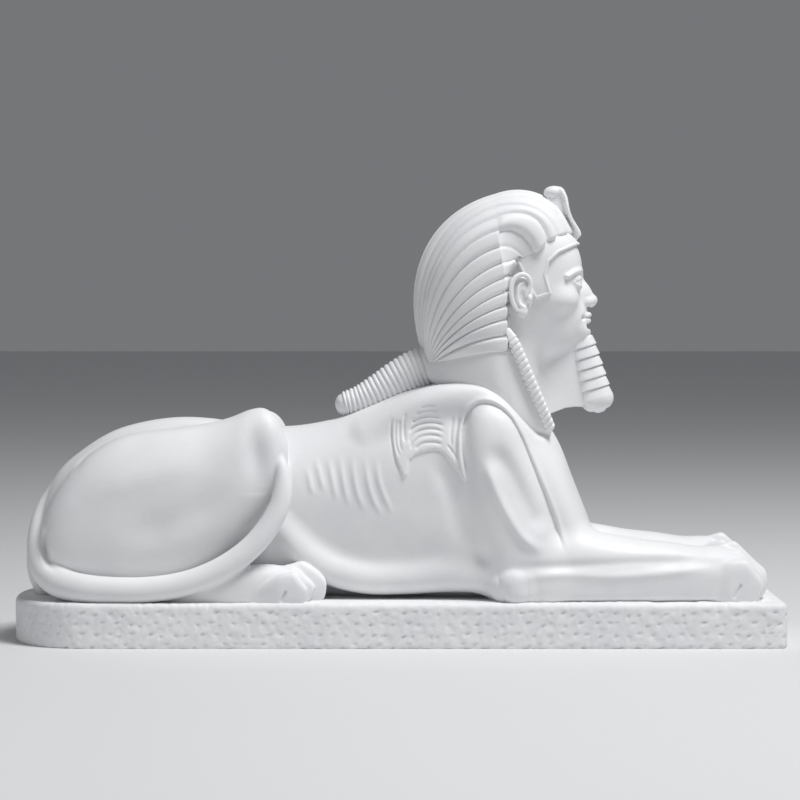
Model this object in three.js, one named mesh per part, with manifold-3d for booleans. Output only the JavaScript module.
// A couchant sphinx of cast white marble, poured in one piece with its low tooled plinth: a lion's body lying
// with its forelegs stretched out, its tail laid round the right haunch, and a human head in a striped
// headcloth with a brow cobra and a plaited beard.
//
// Millimetres. +X is the way the sphinx faces, +Y its left side, +Z up. The origin is the middle of the
// plinth's underside. Every form is a closed skin over a row of sections, and they are joined into one solid.
import * as THREE from "three";
import { mergeVertices } from "three/addons/utils/BufferGeometryUtils.js";
import Module from "manifold-3d";

const wasm = await Module();
wasm.setup();

// ---- Driving dimensions ----
const LENGTH = 400; // plinth, nose to tail
const WIDTH = 120; // plinth
const PLINTH_TOP = 23.4; // height of the ground the lion lies on
const EDGE_ROUND = 4; // soft arris round the top of the plinth
const BACK_ROUND = 45; // depth of the plinth's rounded back end
const CORNER_ROUND = 7; // plinth's two front corners
const SUNK = 3; // how deep the lion's forms run into the plinth

// ---- Sections and skins ----

// Catmull-Rom through the rows of a table, read at t from 0 (first row) to 1 (last row).
function rowAt(rows, t) {
  const place = Math.min(Math.max(t, 0), 1) * (rows.length - 1);
  const i = Math.min(Math.floor(place), rows.length - 2);
  const f = place - i;
  const [a, b, c, d] = [i - 1, i, i + 1, i + 2].map((k) => rows[Math.min(Math.max(k, 0), rows.length - 1)]);
  return b.map((_, k) => {
    const [p, q, r, s] = [a[k], b[k], c[k], d[k]];
    const curve = (2 * p - 5 * q + 4 * r - s) * f * f + (3 * q - p - 3 * r + s) * f * f * f;
    return 0.5 * (2 * q + (r - p) * f + curve);
  });
}

const signedPower = (value, power) => Math.sign(value) * Math.abs(value) ** power;

// A superellipse: 2 is an ellipse, larger powers are squarer. Angle 0 is along a, a quarter turn is along b.
function squircle(angle, a, b, power) {
  return [a * signedPower(Math.cos(angle), 2 / power), b * signedPower(Math.sin(angle), 2 / power)];
}

// Closed skin over rings of equal count, with a point at each end.
function skin(rings, first, last) {
  const around = rings[0].length;
  const points = [first, ...rings.flat(), last];
  const index = [];
  const at = (ring, k) => 1 + ring * around + (k % around);
  for (let k = 0; k < around; k++) {
    index.push(0, at(0, k + 1), at(0, k));
    index.push(points.length - 1, at(rings.length - 1, k), at(rings.length - 1, k + 1));
  }
  for (let ring = 0; ring + 1 < rings.length; ring++) {
    for (let k = 0; k < around; k++) {
      const [p, q] = [at(ring, k), at(ring, k + 1)];
      const [r, s] = [at(ring + 1, k), at(ring + 1, k + 1)];
      index.push(p, q, s, p, s, r);
    }
  }
  return closed(points, index);
}

// Points and faces as a manifold solid with its faces turned out.
function closed(points, index) {
  let volume = 0;
  for (let i = 0; i < index.length; i += 3) {
    const [a, b, c] = [points[index[i]], points[index[i + 1]], points[index[i + 2]]];
    volume += a.dot(new THREE.Vector3().crossVectors(b, c));
  }
  const turned = volume < 0 ? index.slice().reverse() : index;
  const vertProperties = new Float32Array(points.flatMap((p) => [p.x, p.y, p.z]));
  return new wasm.Manifold(new wasm.Mesh({ numProp: 3, vertProperties, triVerts: new Uint32Array(turned) }));
}

// A three.js geometry as a manifold solid.
function solidOf(geometry) {
  const bare = new THREE.BufferGeometry().setAttribute("position", geometry.getAttribute("position"));
  bare.setIndex(geometry.index);
  const merged = mergeVertices(bare, 1e-3);
  const vertProperties = new Float32Array(merged.attributes.position.array);
  return new wasm.Manifold(
    new wasm.Mesh({ numProp: 3, vertProperties, triVerts: new Uint32Array(merged.index.array) }),
  );
}

const mirrored = (solid) => solid.mirror([0, 1, 0]);
const pair = (solid) => [solid, mirrored(solid)];

// A form lofted along X: rows of x, low z, high z, inner y, outer y, squareness. Right side: outer y is negative.
function alongX(rows, rings, around) {
  const sections = [];
  for (let i = 1; i < rings; i++) {
    // Sections gather towards the two ends, where the form closes.
    const t = 0.5 - 0.5 * Math.cos((Math.PI * i) / rings);
    const [x, low, high, inner, outer, power] = rowAt(rows, t);
    const section = [];
    for (let k = 0; k < around; k++) {
      const [a, b] = squircle((2 * Math.PI * k) / around, (outer - inner) / 2, (high - low) / 2, power);
      section.push(new THREE.Vector3(x, (outer + inner) / 2 + a, (high + low) / 2 + b));
    }
    sections.push(section);
  }
  const end = ([x, low, high, inner, outer]) => new THREE.Vector3(x, (inner + outer) / 2, (low + high) / 2);
  return skin(sections, end(rows[0]), end(rows[rows.length - 1]));
}

// A form lofted along Z: rows of z, back x, front x, inner y, outer y, squareness.
function alongZ(rows, rings, around) {
  const sections = [];
  for (let i = 1; i < rings; i++) {
    const t = 0.5 - 0.5 * Math.cos((Math.PI * i) / rings);
    const [z, back, front, inner, outer, power] = rowAt(rows, t);
    const section = [];
    for (let k = 0; k < around; k++) {
      const [a, b] = squircle((2 * Math.PI * k) / around, (front - back) / 2, (outer - inner) / 2, power);
      section.push(new THREE.Vector3((front + back) / 2 + a, (outer + inner) / 2 + b, z));
    }
    sections.push(section);
  }
  const end = ([z, back, front, inner, outer]) => new THREE.Vector3((back + front) / 2, (inner + outer) / 2, z);
  return skin(sections, end(rows[0]), end(rows[rows.length - 1]));
}

// A limb along a path: rows of x, y, z, half width across, half height, squareness, with rounded ends. Its
// sections gather towards the ends, or are spaced evenly.
function limb(rows, rings, around, even = false, ends = 1) {
  const sections = [];
  let across = new THREE.Vector3(0, 1, 0);
  const centre = (t) => new THREE.Vector3(...rowAt(rows, t).slice(0, 3));
  for (let i = 0; i <= rings; i++) {
    const t = even ? i / rings : 0.5 - 0.5 * Math.cos((Math.PI * i) / rings);
    const [, , , wide, high, power] = rowAt(rows, t);
    const heading = centre(Math.min(t + 0.01, 1)).sub(centre(Math.max(t - 0.01, 0))).normalize();
    across = across.clone().addScaledVector(heading, -across.dot(heading)).normalize();
    const up = new THREE.Vector3().crossVectors(heading, across);
    const section = [];
    for (let k = 0; k < around; k++) {
      const [a, b] = squircle((2 * Math.PI * k) / around, wide, high, power);
      section.push(centre(t).addScaledVector(across, a).addScaledVector(up, b));
    }
    sections.push(section);
  }
  const start = centre(0).sub(centre(0.01)).normalize().multiplyScalar(ends * rows[0][4] * 0.5);
  const finish = centre(1).sub(centre(0.99)).normalize().multiplyScalar(ends * rows[rows.length - 1][4] * 0.5);
  return skin(sections, centre(0).add(start), centre(1).add(finish));
}

// A flat outline in the XZ plane, made a slab between two values of y.
function slab(outline, nearY, farY) {
  const shape = new THREE.Shape(outline.map(([x, z]) => new THREE.Vector2(x, z)));
  const geometry = new THREE.ExtrudeGeometry(shape, { depth: Math.abs(farY - nearY), bevelEnabled: false });
  geometry.rotateX(Math.PI / 2);
  geometry.translate(0, Math.max(nearY, farY), 0);
  geometry.deleteAttribute("normal");
  geometry.deleteAttribute("uv");
  return solidOf(geometry);
}

const joined = (solids) => solids.reduce((whole, one) => whole.add(one));

// ---- Plinth ----

// Plan outline of the plinth, inset by a given amount: square front corners, softly rounded, and a round back end.
function plinthOutline(inset) {
  const half = WIDTH / 2 - inset;
  const front = LENGTH / 2 - inset;
  const back = -LENGTH / 2 + inset;
  const corner = CORNER_ROUND - inset;
  const outline = [];
  for (let k = 0; k <= 2; k++) {
    const angle = (Math.PI / 2) * (k / 2);
    outline.push([front - corner + corner * Math.cos(angle), half - corner + corner * Math.sin(angle)]);
  }
  const turn = 12;
  for (let k = 0; k <= turn; k++) {
    const [a, b] = squircle(Math.PI * (0.5 + k / turn), BACK_ROUND - inset, half, 2.3);
    outline.push([back + BACK_ROUND - inset + a, b]);
  }
  for (let k = 2; k >= 0; k--) {
    const angle = (Math.PI / 2) * (k / 2);
    outline.push([front - corner + corner * Math.cos(angle), -half + corner - corner * Math.sin(angle)]);
  }
  return outline;
}

function plinth() {
  const levels = [
    [0, 0],
    [PLINTH_TOP - EDGE_ROUND, 0],
    [PLINTH_TOP - EDGE_ROUND * 0.3, EDGE_ROUND * 0.3],
    [PLINTH_TOP, EDGE_ROUND],
  ];
  const rings = levels.map(([z, inset]) => plinthOutline(inset).map(([x, y]) => new THREE.Vector3(x, y, z)));
  return skin(rings, new THREE.Vector3(0, 0, 0), new THREE.Vector3(0, 0, PLINTH_TOP));
}

// ---- Lion ----

const GROUND = PLINTH_TOP - SUNK;

// Rump, loins, rib cage, shoulders and the slanting chest: rows as alongX, both sides in one.
function torso(swell = 0) {
  const rows = [
    // x, low, high, half width, squareness
    [-194.5, 40, 46, 6, 2.2],
    [-188, GROUND, 68, 27, 2.3],
    [-172, GROUND, 94.5, 38, 2.4],
    [-150, GROUND, 109.5, 42, 2.5],
    [-125, GROUND, 115.5, 42, 2.5],
    [-100, GROUND, 115.5, 39, 2.4],
    [-75, GROUND, 112, 35, 2.3],
    [-50, GROUND, 112, 34.5, 2.3],
    [-25, GROUND, 118.5, 37, 2.4],
    [0, GROUND, 128.5, 40, 2.6],
    [25, GROUND, 136.5, 43, 2.8],
    [45, GROUND, 138, 45, 2.9],
    [64, GROUND, 127, 46, 2.7],
    [81, GROUND, 111.5, 45.5, 2.4],
    [93.5, GROUND, 85, 43.5, 2.2],
    [103.5, GROUND, 60, 37, 2.2],
    [109.5, GROUND, 38, 22, 2.2],
  ].map(([x, low, high, half, power]) => [x, low, high + swell, half + swell, -half - swell, power]);
  return alongX(rows, 17, 20);
}

// The big muscle of the folded hind leg, with the knee standing above the back. The right one stops short of
// the plinth, where the tail runs; the left one is dropped to sit on it.
function thigh(drop) {
  return alongX(
    [
      [-185, 48, 58, -16, -34, 2.2],
      [-178, 36, 76, -6, -45, 2.4],
      [-163, 30, 94, 0, -49, 2.5],
      [-143, 28, 108, 0, -50.5, 2.5],
      [-120, 32, 112, 0, -51, 2.5],
      [-98, 40, 114, -2, -51, 2.4],
      [-82, 50, 118.5, -8, -50, 2.3],
      [-70, 60, 122, -16, -49, 2.3],
      [-60, 74, 115, -24, -48, 2.2],
      [-54.5, 92, 98, -34, -42, 2.2],
    ].map(([x, low, ...rest]) => [x, Math.max(GROUND, low - drop), ...rest]),
    9,
    13,
  );
}

// Tail: out of the rump, down round the right haunch, along the plinth and up the front of the thigh.
function tail() {
  return limb(
    [
      [-174, -2, 66, 8, 8, 2],
      [-183, -14, 52, 8.5, 8.5, 2],
      [-182, -32, 39, 8.5, 8.5, 2],
      [-171.5, -46.5, 31.5, 8, 8, 2],
      [-152, -52, 29.5, 7, 7, 2],
      [-128, -53, 29.8, 6.6, 6.6, 2],
      [-106, -53, 34, 6.4, 6.4, 2],
      [-86, -53, 43.5, 6.2, 6.2, 2],
      [-70, -52, 56.5, 6, 6, 2],
      [-60, -50, 71, 5.5, 5.5, 2],
      [-57.5, -47.5, 84, 4.6, 4.6, 2],
      [-60, -45, 97, 2.4, 2.4, 2],
    ],
    20,
    7,
  );
}

// One toe: a bent form from the back of the paw over the knuckle to the tip.
function toe([x, y, z], length, knuckle, tip, wide) {
  return limb(
    [
      [x - length * 0.5, y, z, wide, knuckle * 0.42, 2.4],
      [x, y, z + knuckle * 0.08, wide, knuckle * 0.46, 2.4],
      [x + length * 0.55, y, z - knuckle * 0.16, wide * 0.98, knuckle * 0.4, 2.6],
      [x + length, y, z - knuckle * 0.34, wide * 0.86, tip, 2.6],
    ],
    4,
    6,
  );
}

// Hind foot: the long heel flat on the plinth under the tail, and three toes.
function hindFoot() {
  const heel = limb(
    [
      [-128, -44, 26, 8, 6, 2.3],
      [-105, -46, 28, 10, 10, 2.3],
      [-80, -47, 30, 11, 11, 2.3],
      [-62, -46.5, 30.5, 11.5, 11, 2.4],
      [-52, -46, 31, 11, 10, 2.4],
    ],
    5,
    8,
  );
  const toes = [0, 1, 2].map((k) => {
    const reach = [0, 5, 4][k];
    return toe([-52 + reach, -53.5 + 7.6 * k, 31], 14 - reach * 0.3, 20, 6.5, 4.6);
  });
  return joined([heel, ...toes]);
}

// Upper arm, from the shoulder down to the elbow on the plinth.
function upperArm() {
  return alongZ(
    [
      [126, 44, 52, -34, -42, 2.2],
      [119, 36, 61, -22, -47.5, 2.4],
      [104, 33, 69, -16, -50, 2.5],
      [86, 33, 76, -12, -51.5, 2.5],
      [66, 36, 84, -10, -52.5, 2.5],
      [48, 41, 90, -10, -53, 2.5],
      [32, 47, 92, -10, -53, 2.6],
      [GROUND, 52, 88, -14, -50, 2.6],
    ],
    9,
    12,
  );
}

// Forearm stretched along the plinth.
function forearm() {
  return limb(
    [
      [64, -31.5, 38, 18.5, 18, 2.5],
      [88, -31.5, 39.5, 19, 20.5, 2.4],
      [103, -31.5, 39, 18.8, 19.5, 2.4],
      [120, -32, 37.5, 18, 17.6, 2.5],
      [140, -32.5, 37, 17.2, 16, 2.6],
      [158, -33, 36.5, 17, 14.2, 2.7],
      [172, -33.5, 36, 16.5, 13.6, 2.7],
    ],
    7,
    12,
  );
}

// Forepaw: four toes side by side, the middle two longest and highest.
function forePaw() {
  return joined(
    [0, 1, 2, 3].map((k) => {
      const reach = [0, 5, 7, 4][k];
      const rise = [0, 2, 2.5, 0.5][k];
      return toe([167 + reach, -46 + 8.4 * k, 34.5 + rise], 16, 26 + rise, 9, 5.6);
    }),
  );
}

// Roll of skin along the bottom of the flank, from the knee to the elbow.
function bellyRoll() {
  return limb(
    [
      [-62, -30, 62, 4, 4, 2],
      [-50, -31, 52, 6, 6, 2],
      [-32, -31, 40, 7.5, 7.5, 2],
      [-5, -31, 34.5, 8, 8.5, 2],
      [22, -33, 36, 8, 8, 2],
      [42, -36, 36, 8, 7.5, 2],
      [58, -40, 32, 7, 7, 2],
    ],
    8,
    7,
  );
}

// ---- Headcloth ----

const KNOT = [16, 142]; // x, z of the point at the nape where the stripes gather
const STRIPE_LINES = 12; // grooves from the crown's middle down to the lowest on the wing
const GROOVE = 1.3; // their depth
const GROOVE_HALF = 0.13; // half their width, as a share of a stripe
const QUEUE_RINGS = 10; // rings of the plaited tail at the nape
const CURVE = 0.6; // how far each curve's handles reach towards its bend

// One row for each line, from the crown's middle down: the bend of its run from the knot, the place where it
// crosses the crown's ridge or the wing's front arris, the bend of its run down the front, and its end at the
// brow band or inside the wing.
const FAN = [
  // bend x, z; arris x, y, z; bend x, z; end x, y, z
  [-11, 216, 52, 0, 233.4, 79, 248, 93, 0, 213],
  [-5, 215, 52, 8.5, 231.2, 80, 241.5, 90.5, 9, 213.5],
  [1, 212, 52, 16.5, 227, 78, 234.5, 85, 19.5, 211.8],
  [2.5, 208, 52, 24, 221.6, 75, 231, 79.2, 24, 209],
  [8.5, 201, 52.2, 31, 214.4, 66.5, 220, 72.5, 26.8, 203.4],
  [13.5, 194.5, 53.6, 34, 205.5, 61, 208.5, 66.8, 27, 199.2],
  [18, 184.5, 55, 36, 197.4, 61, 197, 64.5, 27, 197.5],
  [21.5, 178, 56.4, 37.5, 189.6, 61.5, 189.6, 61.5, 26, 189.8],
  [24.5, 171.5, 56.7, 39, 182.2, 62.5, 182.2, 60.5, 24, 182.2],
  [27, 167, 56.7, 40, 174.9, 62.5, 174.9, 60, 21, 174.9],
  [29.5, 162.5, 56.7, 40.7, 167.9, 62.5, 167.9, 60, 19, 167.9],
  [33, 157.5, 57.4, 41, 159.4, 62.5, 159.4, 60, 18, 159.4],
  [38, 151, 57.2, 41, 150.8, 62.5, 150.8, 60, 18, 150.8],
];

// A curve from one point towards a bend and on to another, read at t from 0 to 1.
function bent([x0, z0], [bx, bz], [x1, z1], t) {
  const [a, b, c, d] = [(1 - t) ** 3, 3 * t * (1 - t) ** 2, 3 * t * t * (1 - t), t ** 3];
  const blend = (p, q, r) => a * p + b * (p + (q - p) * CURVE) + c * (r + (q - r) * CURVE) + d * r;
  return [blend(x0, bx, x1), blend(z0, bz, z1)];
}

// A point of the headcloth: run 0 is the knot, 1 the crown's ridge or the wing's arris, 2 the brow.
function clothPoint(stripe, run) {
  const [bendX, bendZ, arrisX, arrisY, arrisZ, foldX, foldZ, endX, endY, endZ] = rowAt(
    FAN,
    Math.abs(stripe) / STRIPE_LINES,
  );
  const side = -Math.sign(stripe);
  if (run <= 1) {
    const [x, z] = bent(KNOT, [bendX, bendZ], [arrisX, arrisZ], run);
    const spread = Math.sin((Math.PI / 2) * Math.min(1, run * 1.05)) ** 0.75;
    return new THREE.Vector3(x, side * Math.abs(arrisY) * (0.16 + 0.84 * spread), z);
  }
  const t = run - 1;
  const [x, z] = bent([arrisX, arrisZ], [foldX, foldZ], [endX, endZ], t);
  return new THREE.Vector3(x, side * Math.abs(arrisY + (endY - arrisY) * t), z);
}

function headcloth() {
  const marks = [];
  for (let line = 1; line <= STRIPE_LINES; line++) {
    marks.push([line - GROOVE_HALF, 0], [line, GROOVE]);
    if (line < STRIPE_LINES) marks.push([line + GROOVE_HALF, 0]);
  }
  const all = [...marks.map(([stripe, dent]) => [-stripe, dent]).reverse(), [0, 0], ...marks];
  const centre = new THREE.Vector3(50, 0, 185);
  const ringAt = (run) =>
    all.map(([stripe, dent]) => {
      const point = clothPoint(stripe, run);
      const inward = centre.clone().sub(point).normalize();
      const fade = Math.min(1, run * 2.5) * (run > 1 ? 1 - 0.5 * (run - 1) : 1);
      return point.addScaledVector(inward, dent * fade);
    });
  const runs = [0.06, 0.2, 0.37, 0.57, 0.79, 1, 1.25, 1.6, 2];
  return skin(
    runs.map(ringAt),
    new THREE.Vector3(KNOT[0] - 1, 0, KNOT[1] + 2),
    new THREE.Vector3(72, 0, 188),
  );
}

// Plain lower edge of the cloth and the lappet hanging on the breast, right side.
function lappet() {
  return alongX(
    [
      [13, 139, 142, 2, -6, 2.4],
      [22, 133, 145, 4, -17, 2.8],
      [36, 129, 148.5, 4, -29, 3],
      [49, 124, 155, 2, -38.5, 4],
      [57, 118, 160, -6, -41.5, 4.5],
      [62.5, 113, 157, -12, -40.8, 4.5],
      [69, 109, 144, -14, -37, 3.8],
      [75, 107, 130, -15, -33, 3.6],
      [79, 107, 119, -16, -30, 3.4],
      [81.5, 109, 114, -18, -27, 3],
    ],
    9,
    12,
  );
}

// Plaited tail of the cloth, lying back over the shoulders: a tapering roll of rings.
function queue() {
  const rows = [
    [20, 0, 143, 11, 9, 2.2],
    [5, 0, 137, 11, 10.5, 2.2],
    [-8, 0, 129.5, 10, 9, 2.2],
    [-20, 0, 124, 9, 7.5, 2.2],
    [-30, 0, 121.5, 8, 6.5, 2.2],
  ];
  const ringed = [];
  for (let i = 0; i <= 2 * QUEUE_RINGS; i++) {
    const [x, y, z, wide, high, power] = rowAt(rows, i / (2 * QUEUE_RINGS));
    const dent = i % 2 ? 0 : 0.8;
    ringed.push([x, y, z, wide - dent, high - dent, power]);
  }
  return limb(ringed, 2 * QUEUE_RINGS, 8, true, 1);
}

// ---- Head ----

const BEARD_BANDS = 6; // wrapped bands of the ceremonial beard
const CHIN = 156.7; // height of the chin
const HAIRLINE = 209.5; // height of the brow band at the forehead
const THIRD = (HAIRLINE - CHIN) / 3; // forehead, nose and lower face are equal thirds
const BROW = HAIRLINE - THIRD;
const NOSE_BASE = CHIN + THIRD;
const FACE_HALF = 24.5; // half the face's width at the cheekbones
const EYE_Z = BROW - THIRD * 0.3;

const bump = (value, centre, spread) => Math.exp(-(((value - centre) / spread) ** 2));

// Plan sections of the head: z, front x, half width, and how far the section reaches back.
const SKULL = [
  [CHIN - 8, 82, 12, 60],
  [CHIN - 4, 93, 15, 58],
  [CHIN + 2, 98, 17.5, 55],
  [CHIN + 9, 97.5, 20, 52],
  [NOSE_BASE, 96, 22.5, 50],
  [NOSE_BASE + 9, 95, FACE_HALF, 50],
  [BROW, 95.5, FACE_HALF + 0.8, 50],
  [BROW + 9, 95, FACE_HALF + 1.2, 50],
  [HAIRLINE, 92.5, FACE_HALF, 52],
  [HAIRLINE + 9, 82, 19, 56],
  [HAIRLINE + 15, 70, 8, 60],
];

// How far a place on the front of the face stands out from the plain egg of the head.
function feature(y, z) {
  const across = Math.abs(y);
  const down = (BROW - z) / (BROW - NOSE_BASE);
  const ridge = Math.max(0, Math.min(1, down));
  const noseOut = 1 + 8 * ridge ** 1.15;
  const noseWide = 3 + 1.8 * ridge;
  const noseEnd = z < NOSE_BASE ? Math.max(0, 1 - (NOSE_BASE - z) / 2) : 1;
  const nose = z < BROW + 3 ? noseOut * noseEnd * bump(across, 0, noseWide) : 0;
  const wing = 2.2 * bump(across, 4.6, 1.8) * bump(z, NOSE_BASE + 2.2, 2.2);
  const socket = -3.2 * bump(across, 10.5, 6) * bump(z, EYE_Z, 4.2);
  const eye = 2.2 * bump(across, 10.5, 4) * bump(z, EYE_Z - 0.5, 2.6);
  const browRidge = 0.9 * bump(z, BROW + 0.5, 1.8) * bump(across, 12, 8);
  const cheek = 1.2 * bump(across, 16, 6) * bump(z, EYE_Z - 9, 6);
  const muzzle = 2.2 * bump(across, 0, 9) * bump(z, CHIN + 11, 6);
  const upperLip = 1.6 * bump(across, 0, 6.5) * bump(z, CHIN + 12.6, 1.5);
  const lowerLip = 1.5 * bump(across, 0, 5.5) * bump(z, CHIN + 9.4, 1.4);
  const parting = -1.0 * bump(across, 0, 7) * bump(z, CHIN + 11, 0.8);
  const underLip = -1.2 * bump(across, 0, 6) * bump(z, CHIN + 6.6, 1.6);
  const chin = 2.0 * bump(across, 0, 7) * bump(z, CHIN + 2.5, 3.6);
  return nose + wing + socket + eye + browRidge + cheek + muzzle + upperLip + lowerLip + parting + underLip + chin;
}

function head(swell = 0) {
  const rings = [];
  const levels = 20;
  const around = 21;
  for (let i = 1; i < levels; i++) {
    const [z, front, half, back] = rowAt(SKULL, i / levels);
    const middle = (front + back) / 2;
    const ring = [];
    for (let k = 0; k < around; k++) {
      // The steps are finest at the front, where the features are.
      const turn = k / around - 0.5;
      const angle = 2 * Math.PI * (turn - 0.09 * Math.sin(2 * Math.PI * turn));
      const forward = Math.cos(angle);
      const [a, b] = squircle(angle, (front - back) / 2 + swell, half + swell, 2.3);
      const out = forward > 0 && swell === 0 ? feature(b, z) * Math.min(1, forward * 1.5) : 0;
      ring.push(new THREE.Vector3(middle + a + out, b, z));
    }
    rings.push(ring);
  }
  const [first, last] = [SKULL[0], SKULL[SKULL.length - 1]];
  const end = ([z, front, , back]) => new THREE.Vector3((front + back) / 2, 0, z);
  return skin(rings, end(first), end(last));
}

function neck() {
  return alongZ(
    [
      [112, 40, 72, 16, -16, 2.2],
      [125, 40, 76, 18, -18, 2.2],
      [140, 42, 80, 17, -17, 2.2],
      [155, 46, 86, 17, -17, 2.2],
      [170, 48, 84, 16, -16, 2.2],
    ],
    6,
    12,
  );
}

// Brow band with the tab in front of the ear, a thin layer over the head.
function browBand() {
  const outline = [
    [98, 211], [98, 207], [84.5, 201.5], [78.3, 197], [77.6, 190.8], [79.7, 185.7], [81.2, 182.5],
    [72, 179], [66.6, 190.8], [60, 199], [60, 206], [73, 205], [80, 209], [90, 212],
  ];
  return slab(outline, -40, 40).intersect(head(1.5));
}

// Cobra rearing over the brow: a flat hood standing out from the cloth.
function cobra() {
  const rows = [
    [96, 0, 208.5, 3.2, 2.2, 2.2],
    [94, 0, 214, 3.8, 2.6, 2.2],
    [90.5, 0, 221, 5, 3, 2.2],
    [88, 0, 228, 5.4, 3.2, 2.2],
    [84.5, 0, 233.5, 4.2, 3.4, 2.2],
    [79.5, 0, 233, 3.2, 3.4, 2.2],
  ];
  return limb(rows, 8, 8);
}

// Ear standing in front of the cloth's wing.
function ear() {
  const rim = limb(
    [
      [66, -25, 170, 2.4, 2.4, 2],
      [61.5, -27.5, 175, 2.6, 2.2, 2],
      [60, -29, 183, 2.6, 2, 2],
      [62, -29, 189.5, 2.5, 2, 2],
      [66, -28, 191, 2.4, 2, 2],
      [69, -26.5, 187.5, 2.2, 2, 2],
      [69.5, -25.5, 183, 1.8, 1.8, 2],
    ],
    8,
    5,
  );
  const shell = alongZ(
    [
      [167, 63, 67, -20, -26, 2.2],
      [172, 61, 70, -20, -28, 2.2],
      [182, 60, 70, -20, -27, 2.2],
      [190, 63, 68, -20, -26, 2.2],
    ],
    4,
    6,
  );
  return joined([rim, shell]);
}

// Plaited ceremonial beard: wrapped bands, each a little wider at its foot, and a rounded end.
function beard() {
  const top = new THREE.Vector3(98.8, 0, 157);
  const foot = new THREE.Vector3(108, 0, 122.5);
  const row = (t, swell) => {
    const at = top.clone().lerp(foot, t);
    return [at.x, 0, at.z, 5 + 2 * t + swell, 5.6 + 2.2 * t + swell, 2.6];
  };
  const rows = [];
  for (let k = 0; k < BEARD_BANDS; k++) {
    rows.push(row((k + 0.08) / BEARD_BANDS, -0.6), row((k + 0.92) / BEARD_BANDS, 0.6));
  }
  return limb(rows, rows.length - 1, 8, true, 1);
}

// Web of stone that ties the beard to the throat and breast.
function web() {
  return slab(
    [[70, 160], [99, 160], [102, 132], [103, 122], [94, 121.5], [88, 121], [80, 117.5], [66, 112]],
    -6,
    6,
  );
}

// ---- The one casting ----

const FAR_KNEE = 0.968; // the left knee stands a little lower than the right
const LEFT_DROP = 15; // and its thigh, with no tail under it, reaches lower

const lion = [
  torso(),
  thigh(0),
  mirrored(thigh(LEFT_DROP)).scale([1, 1, FAR_KNEE]),
  tail(),
  ...pair(hindFoot()),
  ...pair(upperArm()),
  ...pair(forearm()),
  ...pair(forePaw()),
  ...pair(bellyRoll()),
];
const bust = [headcloth(), ...pair(lappet()), queue(), head(), neck(), browBand(), cobra(), ...pair(ear()), beard(), web()];

// Joined, the forms close round small hollows deep inside the shoulders. The casting is its outer skin alone.
const casting = joined([plinth(), ...lion, ...bust])
  .decompose()
  .reduce((largest, one) => (one.volume() > largest.volume() ? one : largest));

const { numProp, vertProperties, triVerts } = casting.getMesh();
const positions = new Float32Array((vertProperties.length / numProp) * 3);
for (let i = 0; i < positions.length / 3; i++) {
  positions.set(vertProperties.subarray(i * numProp, i * numProp + 3), i * 3);
}
const geometry = new THREE.BufferGeometry().setAttribute("position", new THREE.BufferAttribute(positions, 3));
geometry.setIndex(new THREE.BufferAttribute(triVerts, 1));
geometry.computeVertexNormals();

const marble = new THREE.MeshStandardMaterial({ color: 0xf2f1f3, roughness: 0.55, metalness: 0 });
const sphinx = new THREE.Mesh(geometry, marble);
sphinx.name = "sphinx_and_plinth";

const statue = new THREE.Group();
statue.add(sphinx);
export default statue;
